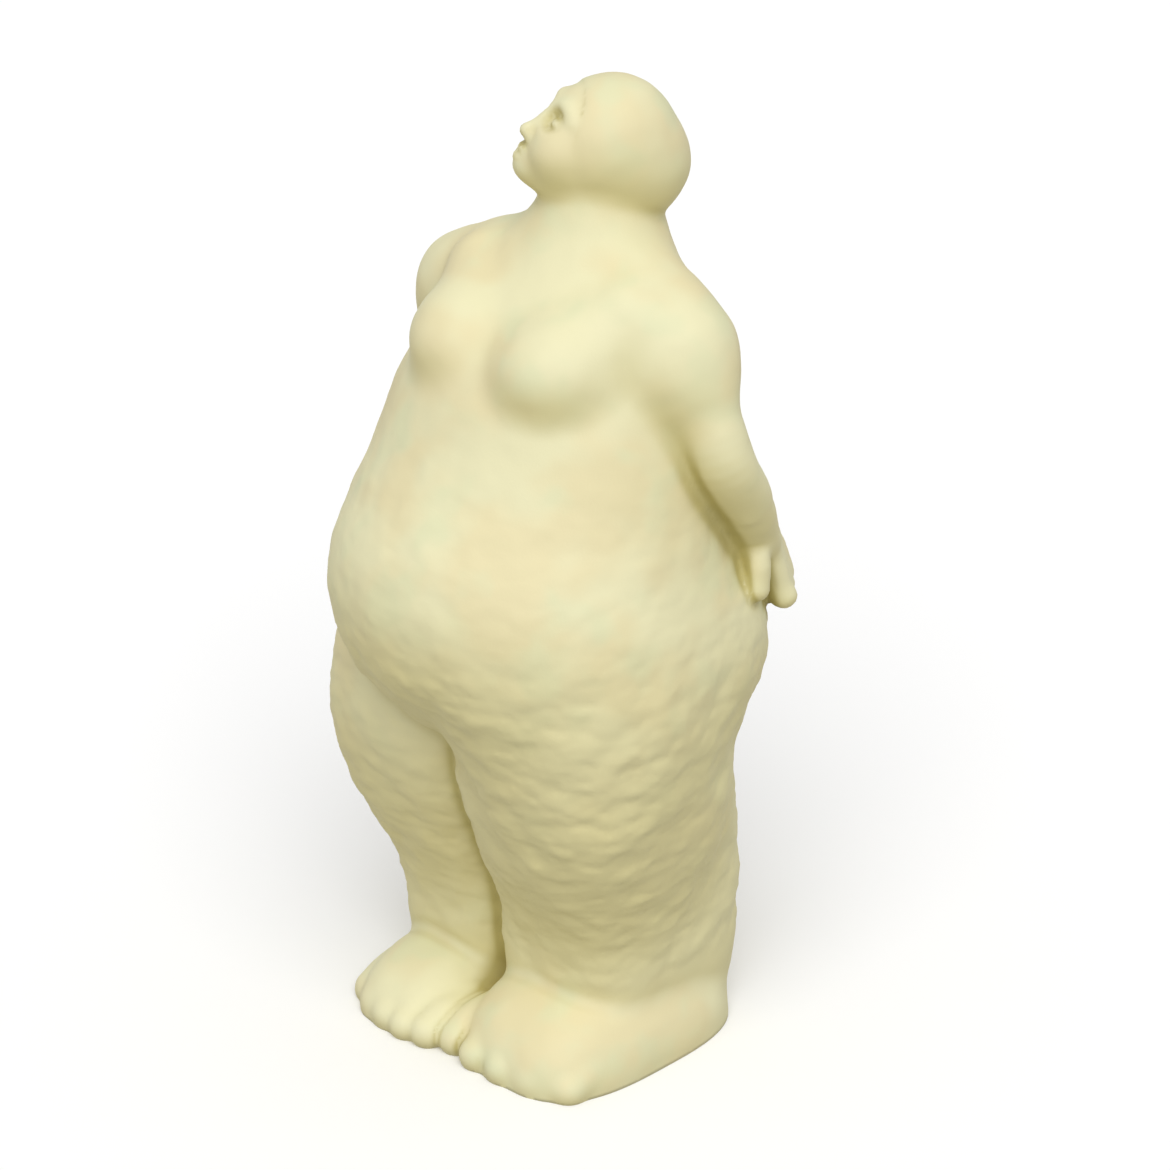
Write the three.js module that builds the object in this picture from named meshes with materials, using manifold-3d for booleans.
// A plump standing woman with her hands on the back of her hips and her face turned up,
// hand modelled in soft clay and cast in one piece. Millimetres, +Z up. The figure looks
// along -Y, +X is her left side, and the origin is on the underside, under the body.
//
// The form is built the way it was modelled: lumps and rolls of clay, each with its own
// place and size, pressed together with softer or crisper joins. The joined clay is then
// wrapped in a skin of triangles, thinned where it is smooth, and cut flat to stand on.
import * as THREE from 'three';
import { mergeVertices } from 'three/addons/utils/BufferGeometryUtils.js';
import Module from 'manifold-3d';

// Heights of the main places above the ground
const LEVEL = {
  ankle: 30,
  calf: 50,
  thigh: 118,
  seat: 136,
  hips: 152,
  belly: 174,
  fingertips: 167,
  wrist: 191,
  waist: 214,
  elbow: 230,
  bust: 256,
  shoulder: 264,
  nape: 280,
  head: 323,
};

// How softly two lumps run into each other: the width of the join
const JOIN = { torso: 20, shoulders: 16, thigh: 26, legs: 2.5, toes: 2, breasts: 6, fingers: 1.6 };

const CLAY_COLOUR = 0xdfdcaa;
const SKIN_FACES = 9500; // triangles left once the skin is thinned
const SKIN_BELOW = 8; // clay kept under the ground until the flat cut
const GROUND_REACH = 0.7; // vertices this near the ground are set on it before the cut

// The lattice that the clay is first wrapped in, as stretches of [from, to, cell size]:
// small cells for toes, hands and face, larger ones for the plain body between them
const LATTICE = [
  [[-85, 85, 2.4]],
  [[-84, 84, 2.4]],
  [[-SKIN_BELOW - 4, 24, 2], [24, 156, 3.8], [156, 204, 2.6], [204, 292, 3.6], [292, 354, 1.9]],
];

// Lumps of clay. Each is a function of a point that gives its distance outside the lump,
// less than zero inside.
function ball([cx, cy, cz], [rx, ry, rz], tip = 0) {
  const c = Math.cos(tip);
  const s = Math.sin(tip);
  return (px, py, pz) => {
    const x = px - cx;
    const y = (py - cy) * c + (pz - cz) * s;
    const z = (pz - cz) * c - (py - cy) * s;
    const near = Math.hypot(x / rx, y / ry, z / rz);
    const slope = Math.hypot(x / (rx * rx), y / (ry * ry), z / (rz * rz)) + 1e-9;
    return (near * (near - 1)) / slope;
  };
}

// A block with rounded corners: square sets its corners seen from above, crown its top
function block([cx, cy, cz], [rx, ry, rz], square, crown) {
  return (px, py, pz) => {
    const x = Math.abs(px - cx) / rx + 1e-5;
    const y = Math.abs(py - cy) / ry + 1e-5;
    const z = Math.abs(pz - cz) / rz + 1e-5;
    const plan = x ** square + y ** square;
    const near = (plan ** (crown / square) + z ** crown) ** (1 / crown);
    const lean = plan ** (crown / square - 1);
    const slope = Math.hypot(
      (lean * x ** (square - 1)) / rx,
      (lean * y ** (square - 1)) / ry,
      z ** (crown - 1) / rz,
    );
    return (near - 1) / (slope * near ** (1 - crown) + 1e-9);
  };
}

// A tapered roll between two balls, each given as [x, y, z, radius]
function roll([ax, ay, az, ra], [bx, by, bz, rb]) {
  const [dx, dy, dz] = [bx - ax, by - ay, bz - az];
  const length2 = dx * dx + dy * dy + dz * dz;
  const taper = ra - rb;
  const side2 = length2 - taper * taper;
  return (px, py, pz) => {
    const [x, y, z] = [px - ax, py - ay, pz - az];
    const along = x * dx + y * dy + z * dz;
    const past = along - length2;
    const off2 =
      (x * length2 - along * dx) ** 2 + (y * length2 - along * dy) ** 2 + (z * length2 - along * dz) ** 2;
    const k = Math.sign(taper) * taper * taper * off2;
    if (Math.sign(past) * side2 * past * past * length2 > k) {
      return Math.sqrt(off2 + past * past * length2) / length2 - rb;
    }
    if (Math.sign(along) * side2 * along * along * length2 < k) {
      return Math.sqrt(off2 + along * along * length2) / length2 - ra;
    }
    return (Math.sqrt((off2 * side2) / length2) + along * taper) / length2 - ra;
  };
}

// A limb rolled out along a smooth curve through its joints, each [x, y, z, radius]
function limb(joints, steps = 4) {
  const line = new THREE.CatmullRomCurve3(
    joints.map(([x, y, z]) => new THREE.Vector3(x, y, z)), false, 'catmullrom', 0.5,
  );
  const count = (joints.length - 1) * steps;
  const beads = Array.from({ length: count + 1 }, (_, i) => {
    const t = i / count;
    const joint = Math.min(Math.floor(t * (joints.length - 1)), joints.length - 2);
    const share = t * (joints.length - 1) - joint;
    const radius = THREE.MathUtils.lerp(joints[joint][3], joints[joint + 1][3], share);
    return [...line.getPoint(t).toArray(), radius];
  });
  const rolls = beads.slice(1).map((bead, i) => roll(beads[i], bead));
  return (x, y, z) => Math.min(...rolls.map((part) => part(x, y, z)));
}

// Two distances run together over a join of the given width
function melt(a, b, width) {
  const overlap = Math.max(width - Math.abs(a - b), 0) / width;
  return Math.min(a, b) - overlap * overlap * width * 0.25;
}

// Lumps pressed together. The width is a number, or a function of the point.
function press(width, ...lumps) {
  const widthAt = typeof width === 'function' ? width : () => width;
  return (x, y, z) => {
    const w = widthAt(x, y, z);
    return lumps.slice(1).reduce((d, lump) => melt(d, lump(x, y, z), w), lumps[0](x, y, z));
  };
}

const scoop = (width, from, tool) => (x, y, z) => -melt(-from(x, y, z), tool(x, y, z), width);
const mirror = (lump) => (x, y, z) => lump(-x, y, z);
const both = (width, lump) => press(width, lump, mirror(lump));
const ease = (value, from, to) => THREE.MathUtils.smoothstep(value, from, to);

// Torso: a great belly over wide hips, a chest and sloping shoulders. Her right shoulder
// hangs a little lower and wider than her left.
function makeTorso() {
  const belly = ball([0, -9, LEVEL.belly], [72, 69, 58]);
  const hips = ball([0, 14, LEVEL.hips], [76, 56, 51]);
  const waist = ball([-2, 2, LEVEL.waist], [64, 50, 62]);
  const chest = ball([0, 15, LEVEL.shoulder - 2], [55, 31, 32]);
  const shoulder = (x, z) => limb([[0, 22, z + 14, 17], [0.6 * x, 20, z + 12, 14.5], [x, 18, z, 14]]);
  const neck = roll([0, 25, LEVEL.nape - 2, 22], [0, 26, LEVEL.nape + 28, 20]);
  const trunk = press(JOIN.torso, belly, hips, waist, chest);
  return press(
    JOIN.shoulders, trunk, shoulder(47, LEVEL.shoulder), mirror(shoulder(57, LEVEL.shoulder - 4)), neck,
  );
}

// Legs: two thick columns that touch, so that only a groove parts them, with the seat
// above them. The groove runs a little to her right of the middle.
function makeLegs() {
  const left = press(
    JOIN.thigh,
    block([31, -9, LEVEL.thigh], [42, 44, 62], 2.8, 2),
    block([25.5, 11, LEVEL.calf], [32.5, 41, 78], 3.4, 2.4),
  );
  const right = press(
    JOIN.thigh,
    block([-37, -9, LEVEL.thigh], [40, 43.5, 62], 2.8, 2),
    block([-29, 11, LEVEL.calf], [29, 40, 78], 3.4, 2.4),
  );
  const seat = ball([25, 36, LEVEL.seat], [28, 27, 30]);
  return press(8, press(JOIN.legs, left, right), both(3, seat));
}

// The belly hangs over her right thigh in a sharp fold and runs out smoothly into the left
function foldWidth(x, y) {
  const front = ease(-y, -24, 24);
  return 5 + 36 * ease(x, -8, 34) * front + 8 * (1 - front);
}

// A foot: a block for the sole and five toes in a bowed row along its front edge
const TOE_HEIGHTS = [4.2, 3.8, 3.6, 3.4, 3.2];
const FOOT_GAP = -3.5; // where the two feet touch
const LEFT_FOOT = { outer: 60, front: -58, middle: 20, bow: 0.0068, at: 30, wide: 34.5, long: 50, tall: 32 };
const RIGHT_FOOT = { outer: -50, front: -61.5, middle: -19, bow: 0.0125, at: -27, wide: 25, long: 50, tall: 27 };
const TOE = 6.9; // radius of a toe

function makeFoot(foot) {
  const pitch = (foot.outer - FOOT_GAP) / TOE_HEIGHTS.length;
  const sole = block([foot.at, foot.front + 52.5, 0], [foot.wide, foot.long, foot.tall], 3, 2.2);
  const toes = TOE_HEIGHTS.map((z, i) => {
    const x = FOOT_GAP + pitch * (i + 0.5);
    const y = foot.front + foot.bow * (x - foot.middle) ** 2;
    return limb([[x, y + TOE, z, TOE], [x, y + 16, z + 4, TOE], [x, y + 27, 8, TOE]], 3);
  });
  return press(JOIN.toes, sole, ...toes);
}

function makeBreast() {
  const lobe = ball([20, -17, LEVEL.bust], [20.5, 21, 18], THREE.MathUtils.degToRad(-22));
  const slope = roll([34, 4, LEVEL.bust + 20, 12], [24, -8, LEVEL.bust + 8, 15]);
  return press(JOIN.shoulders, lobe, slope);
}

// An arm hangs from the shoulder, runs back past the elbow and ends at the wrist
function makeArm(x, z) {
  return limb([
    [x, 18, z, 13],
    [(x + 66) / 2 + 2, 16.5, (z + LEVEL.elbow) / 2 + 1, 11.2],
    [66, 18, LEVEL.elbow, 10.8],
    [65.5, 29, LEVEL.waist - 2, 10],
    [60.5, 42, LEVEL.wrist, 8],
  ]);
}

// A hand lies on the back of the hip, four fingers down and side by side, thumb in front
function makeHand() {
  const wrist = [59.5, 42.5, LEVEL.wrist, 7.2];
  const fingers = [1.5, -1, -0.5, 2.5].map((short, i) => {
    const x = 64.5 - 4 * i;
    const y = 50.8 + 3.85 * i;
    return limb([wrist, [x - 3.5, y - 3.5, LEVEL.wrist - 9, 5.4], [x, y, LEVEL.fingertips + short, 4.9]], 3);
  });
  const thumb = limb([[62, 38, 194, 6], [66.5, 35.5, 187, 4.8], [67.5, 34, 177.5, 4.6]], 3);
  return press(JOIN.fingers, ...fingers, thumb);
}

// The face, in the head's own frame: looking along -Y, the eyes on the level of the origin
// and half way down the head, the nose and mouth below them in the usual thirds
const EYE = { x: 8.8, y: -18.3, z: -0.2 };

function makeFace() {
  const skull = ball([0, 4, 5], [25, 27, 25]);
  const jaw = ball([0, -4, -9], [19.5, 19.5, 20]);
  const cheek = ball([10.5, -13, -9], [8.5, 8.5, 8.5]);
  const chin = ball([0, -17, -23], [7, 5.5, 5]);
  const socket = ball([EYE.x, -25, 0.5], [6.5, 5, 4.4]);
  const lid = ball([EYE.x, EYE.y, EYE.z], [5.4, 4.4, 3.3]);
  const brow = limb([[2, -21.4, 5, 1.5], [6, -22, 7.4, 1.6], [11, -20.2, 7.6, 1.4], [15.5, -16.8, 5.2, 1]], 3);
  const nose = limb([[0, -21.2, 6, 1.7], [0, -24.3, -5, 2.1], [0, -26.4, -11, 2.8]], 3);
  const nostril = ball([3, -23.2, -12], [2.2, 2.6, 2]);
  const bow = limb([[6.2, -20.3, -19, 0.8], [2.4, -23.2, -17.6, 1.5], [0, -23.2, -18.2, 1.4]], 3);
  const lower = limb([[-5, -20.8, -20.1, 0.8], [0, -22.8, -21.4, 2], [5, -20.8, -20.1, 0.8]], 4);
  let face = press(12, skull, jaw);
  face = press(7, face, both(1, cheek), chin);
  face = scoop(4, face, both(0.1, socket));
  face = press(4, face, both(3, brow));
  face = press(1, face, both(0.1, lid));
  face = press(2.4, face, nose, both(0.5, nostril));
  return press(1.2, face, press(0.4, both(0.1, bow), lower));
}

// Short smooth hair: a cap over the skull, open round the face and cut level at the nape
function makeHair() {
  const crown = ball([0, 3, 4], [27.2, 26.4, 28.2]);
  const cap = press(4, crown, ball([0, 13, 3], [24.6, 25, 25]));
  const opening = ball([0, -33, -7], [30, 27.5, 28]);
  const belowNape = (x, y, z) => z + 18.5;
  return scoop(3, scoop(1, cap, opening), belowNape);
}

// The head, tipped back and turned to her right
const HEAD = { at: new THREE.Vector3(-1, 25, LEVEL.head), size: 0.86, turn: -40, tip: -38 };

function makeHead() {
  const pose = new THREE.Matrix4().makeRotationZ(THREE.MathUtils.degToRad(HEAD.turn));
  pose.multiply(new THREE.Matrix4().makeRotationX(THREE.MathUtils.degToRad(HEAD.tip)));
  pose.scale(new THREE.Vector3(HEAD.size, HEAD.size, HEAD.size)).setPosition(HEAD.at);
  const intoHead = pose.invert();
  const head = press(0.8, makeFace(), makeHair());
  const point = new THREE.Vector3();
  return (x, y, z) => {
    point.set(x, y, z).applyMatrix4(intoHead);
    return head(point.x, point.y, point.z) * HEAD.size;
  };
}

function makeFigure() {
  let figure = press(foldWidth, makeTorso(), makeLegs());
  figure = press(4, figure, press(JOIN.toes, makeFoot(LEFT_FOOT), makeFoot(RIGHT_FOOT)));
  figure = press(JOIN.breasts, figure, both(3, makeBreast()));
  const armpit = (x, y, z) => 5 + 12 * ease(z, LEVEL.elbow - 5, LEVEL.shoulder);
  const rightArm = mirror(makeArm(58, LEVEL.shoulder - 4));
  figure = press(armpit, figure, makeArm(47, LEVEL.shoulder), rightArm);
  figure = press(2, figure, both(1, makeHand()));
  return press(2.5, figure, makeHead());
}

// Whether the marked corners of a cell hang together along its edges
function hangsTogether(marked) {
  const start = marked.indexOf(true);
  if (start < 0) return true;
  const reached = new Set([start]);
  for (const n of reached) {
    [1, 2, 4].forEach((bit) => { if (marked[n ^ bit]) reached.add(n ^ bit); });
  }
  return reached.size === marked.filter(Boolean).length;
}

// Fill the thinnest gaps, where two stretches of the surface would meet in a single cell
function closePinches(depth, corner) {
  let filled = 1;
  while (filled > 0) {
    filled = 0;
    for (let at = 0; at < depth.length - corner[7]; at++) {
      const inside = corner.map((step) => depth[at + step] < 0);
      if (inside.every((side) => side === inside[0])) continue;
      if (hangsTogether(inside) && hangsTogether(inside.map((side) => !side))) continue;
      const outside = corner.map((step) => (depth[at + step] < 0 ? Infinity : depth[at + step]));
      depth[at + corner[outside.indexOf(Math.min(...outside))]] = -0.05;
      filled++;
    }
  }
}

// Depth of every lattice point in the clay. Blocks of points that lie well clear of the
// surface take the depth at their middle, and the outermost points are always outside.
function soundDepths(form, planes) {
  const size = planes.map((list) => list.length);
  const depth = new Float64Array(size[0] * size[1] * size[2]);
  const block = 5;
  const blocks = size.map((n) => [...Array(Math.ceil(n / block)).keys()].map((i) => i * block));
  for (const i0 of blocks[0]) {
    for (const j0 of blocks[1]) {
      for (const k0 of blocks[2]) {
        const first = [i0, j0, k0];
        const last = first.map((n, axis) => Math.min(n + block, size[axis]) - 1);
        const low = new THREE.Vector3(...first.map((n, axis) => planes[axis][n]));
        const high = new THREE.Vector3(...last.map((n, axis) => planes[axis][n]));
        const middle = low.clone().lerp(high, 0.5);
        const clear = form(middle.x, middle.y, middle.z);
        const near = Math.abs(clear) < 0.8 * low.distanceTo(high) + 2;
        for (let i = i0; i <= last[0]; i++) {
          for (let j = j0; j <= last[1]; j++) {
            for (let k = k0; k <= last[2]; k++) {
              const rim = [i, j, k].some((n, axis) => n === 0 || n === size[axis] - 1);
              const d = near ? form(planes[0][i], planes[1][j], planes[2][k]) || 1e-6 : clear;
              depth[(i * size[1] + j) * size[2] + k] = rim ? 1 : d;
            }
          }
        }
      }
    }
  }
  return depth;
}

// Wrap a form in a closed skin: each lattice cell that the surface crosses gets one vertex,
// at the mean of the crossings on its edges, and each crossed edge is closed by two faces
function wrap(form, planes) {
  const size = planes.map((list) => list.length);
  const stride = [size[1] * size[2], size[2], 1];
  const depth = soundDepths(form, planes);
  const corners = [...Array(8).keys()].map((n) => [n >> 2, (n >> 1) & 1, n & 1]);
  const corner = corners.map((c) => c[0] * stride[0] + c[1] * stride[1] + c[2]);
  closePinches(depth, corner);
  const points = [];
  const faces = [];
  const vertexOf = new Int32Array(depth.length).fill(-1);
  const eachCell = (visit) => {
    for (let i = 0; i < size[0] - 1; i++) {
      for (let j = 0; j < size[1] - 1; j++) {
        for (let k = 0; k < size[2] - 1; k++) visit([i, j, k], i * stride[0] + j * stride[1] + k);
      }
    }
  };
  eachCell((cell, at) => {
    if (corner.every((step) => depth[at + step] < 0 === depth[at] < 0)) return;
    const sum = new THREE.Vector3();
    let crossings = 0;
    corners.forEach((c, m) => [4, 2, 1].forEach((bit, axis) => {
      const from = depth[at + corner[m]];
      const to = depth[at + corner[m | bit]];
      if (m & bit || from < 0 === to < 0) return;
      const spot = c.map((n, a) => planes[a][cell[a] + n]);
      spot[axis] += (planes[axis][cell[axis] + 1] - spot[axis]) * (from / (from - to));
      sum.add(new THREE.Vector3(...spot));
      crossings++;
    }));
    vertexOf[at] = points.length;
    points.push(sum.divideScalar(crossings));
  });
  eachCell((cell, at) => stride.forEach((step, axis) => {
    const inside = depth[at] < 0;
    if (inside === depth[at + step] < 0) return;
    const u = stride[(axis + 1) % 3];
    const v = stride[(axis + 2) % 3];
    const [a, b, c, d] = [at, at - u, at - u - v, at - v].map((n) => vertexOf[n]);
    faces.push(...(inside ? [[a, b, c], [a, c, d]] : [[c, b, a], [d, c, a]]));
  }));
  return { points, faces };
}

// The skin without the small sealed pockets that are left where lumps meet inside
function outerSkin({ points, faces }) {
  const neighbours = points.map(() => []);
  faces.forEach(([a, b, c]) => {
    neighbours[a].push(b);
    neighbours[b].push(c);
    neighbours[c].push(a);
  });
  const top = points.reduce((best, p, i) => (p.z > points[best].z ? i : best), 0);
  const reached = new Set([top]);
  for (const v of reached) neighbours[v].forEach((n) => reached.add(n));
  return { points, faces: faces.filter(([a]) => reached.has(a)) };
}

// Bring each vertex of a skin onto the surface of the form, by at most one cell
function settle({ points, faces }, form) {
  const h = 0.05;
  for (const p of points) {
    for (let pass = 0; pass < 2; pass++) {
      const d = form(p.x, p.y, p.z);
      const slope = new THREE.Vector3(
        form(p.x + h, p.y, p.z) - form(p.x - h, p.y, p.z),
        form(p.x, p.y + h, p.z) - form(p.x, p.y - h, p.z),
        form(p.x, p.y, p.z + h) - form(p.x, p.y, p.z - h),
      ).divideScalar(2 * h);
      if (p.z > 1 - SKIN_BELOW) p.addScaledVector(slope, -THREE.MathUtils.clamp(d, -1, 1) / (slope.lengthSq() + 0.1));
    }
  }
  return { points, faces };
}

// Error of a vertex set at a point: its squared distances to the planes of its first faces
function planeSum(sum, normal, offset, weight) {
  const plane = [normal.x, normal.y, normal.z, offset];
  let slot = 0;
  for (let m = 0; m < 4; m++) {
    for (let n = m; n < 4; n++) sum[slot++] += plane[m] * plane[n] * weight;
  }
}

function planeError(sum, { x, y, z }) {
  return (
    sum[0] * x * x + sum[4] * y * y + sum[7] * z * z + sum[9] +
    2 * (sum[1] * x * y + sum[2] * x * z + sum[3] * x + sum[5] * y * z + sum[6] * y + sum[8] * z)
  );
}

// Thin a skin to a number of faces. Each pass shuts the short, flat edges first, and leaves
// an edge alone where shutting it would pinch the skin or turn a face over.
function thin({ points, faces }, limit) {
  const sums = points.map(() => new Float64Array(10));
  const triangle = new THREE.Triangle();
  const normal = new THREE.Vector3();
  for (const face of faces) {
    triangle.set(...face.map((v) => points[v])).getNormal(normal);
    const offset = -normal.dot(triangle.a);
    face.forEach((v) => planeSum(sums[v], normal, offset, triangle.getArea()));
  }
  const evenness = 0.02; // keeps the faces on smooth stretches from growing long and thin
  const passShare = 0.06;
  let left = faces;
  while (left.length > limit) {
    const star = points.map(() => []);
    left.forEach((face, i) => face.forEach((v) => star[v].push(i)));
    const edges = [];
    for (const face of left) {
      face.forEach((a, n) => {
        const b = face[(n + 1) % 3];
        if (a > b) return;
        const sum = sums[a].map((value, slot) => value + sums[b][slot]);
        const middle = points[a].clone().lerp(points[b], 0.5);
        const length2 = points[a].distanceToSquared(points[b]);
        for (const at of [middle, points[a], points[b]]) {
          edges.push({ a, b, at, sum, cost: planeError(sum, at) + evenness * length2 });
        }
      });
    }
    edges.sort((e, f) => e.cost - f.cost);
    const used = new Set();
    const budget = Math.min((left.length - limit) / 2, left.length * passShare);
    let shut = 0;
    for (const { a, b, at, sum } of edges) {
      if (shut >= budget) break;
      if (used.has(a) || used.has(b)) continue;
      const ringOf = (v) => new Set(star[v].flatMap((f) => left[f]));
      const ringA = ringOf(a);
      const ringB = ringOf(b);
      const shared = [...ringA].filter((v) => ringB.has(v)).length;
      if (shared !== 4) continue;
      const moved = [...new Set([...star[a], ...star[b]])].filter(
        (f) => !(left[f].includes(a) && left[f].includes(b)),
      );
      const turns = moved.some((f) => {
        const before = triangle.set(...left[f].map((v) => points[v])).getNormal(new THREE.Vector3());
        const after = triangle.set(...left[f].map((v) => (v === a || v === b ? at : points[v])));
        return after.getArea() < 0.05 || after.getNormal(normal).dot(before) < 0.3;
      });
      if (turns) continue;
      points[a] = at.clone();
      sums[a] = sum;
      star[b].forEach((f) => { left[f] = left[f].map((v) => (v === b ? a : v)); });
      [...ringA, ...ringB].forEach((v) => used.add(v));
      shut++;
    }
    left = left.filter(([a, b, c]) => a !== b && b !== c && c !== a);
    if (shut === 0) break;
  }
  return { points, faces: left };
}

// A closed mesh as a solid that can be cut
function solidOf(wasm, geometry) {
  const bare = geometry.clone();
  bare.deleteAttribute('normal');
  bare.deleteAttribute('uv');
  const merged = mergeVertices(bare, 1e-4);
  const vertProperties = new Float32Array(merged.attributes.position.array);
  const triVerts = new Uint32Array(merged.index.array);
  return new wasm.Manifold(new wasm.Mesh({ numProp: 3, vertProperties, triVerts }));
}

function geometryOf(points, faces) {
  const geometry = new THREE.BufferGeometry().setFromPoints(points);
  geometry.setIndex(faces.flat());
  return geometry;
}

const wasm = await Module();
wasm.setup();

// The planes of the lattice along one axis
const spread = (stretches) => stretches.flatMap(([from, to, cell]) => {
  const count = Math.round((to - from) / cell);
  return Array.from({ length: count }, (_, i) => from + ((to - from) * i) / count);
});

const clay = makeFigure();
const skin = thin(settle(outerSkin(wrap(clay, LATTICE.map(spread))), clay), SKIN_FACES);
skin.points.forEach((p) => { if (Math.abs(p.z) < GROUND_REACH) p.z = 0; });
const ground = new THREE.BoxGeometry(300, 300, 60);
ground.translate(0, 0, -30);
const cut = solidOf(wasm, geometryOf(skin.points, skin.faces)).subtract(solidOf(wasm, ground));
const mesh = cut.getMesh();
const geometry = new THREE.BufferGeometry();
geometry.setAttribute('position', new THREE.BufferAttribute(mesh.vertProperties, 3));
geometry.setIndex(new THREE.BufferAttribute(mesh.triVerts, 1));
geometry.computeVertexNormals();

const figurine = new THREE.Mesh(
  geometry,
  new THREE.MeshStandardMaterial({ color: CLAY_COLOUR, roughness: 0.75, metalness: 0 }),
);
figurine.name = 'figurine';

const figure = new THREE.Group();
figure.add(figurine);
export default figure;
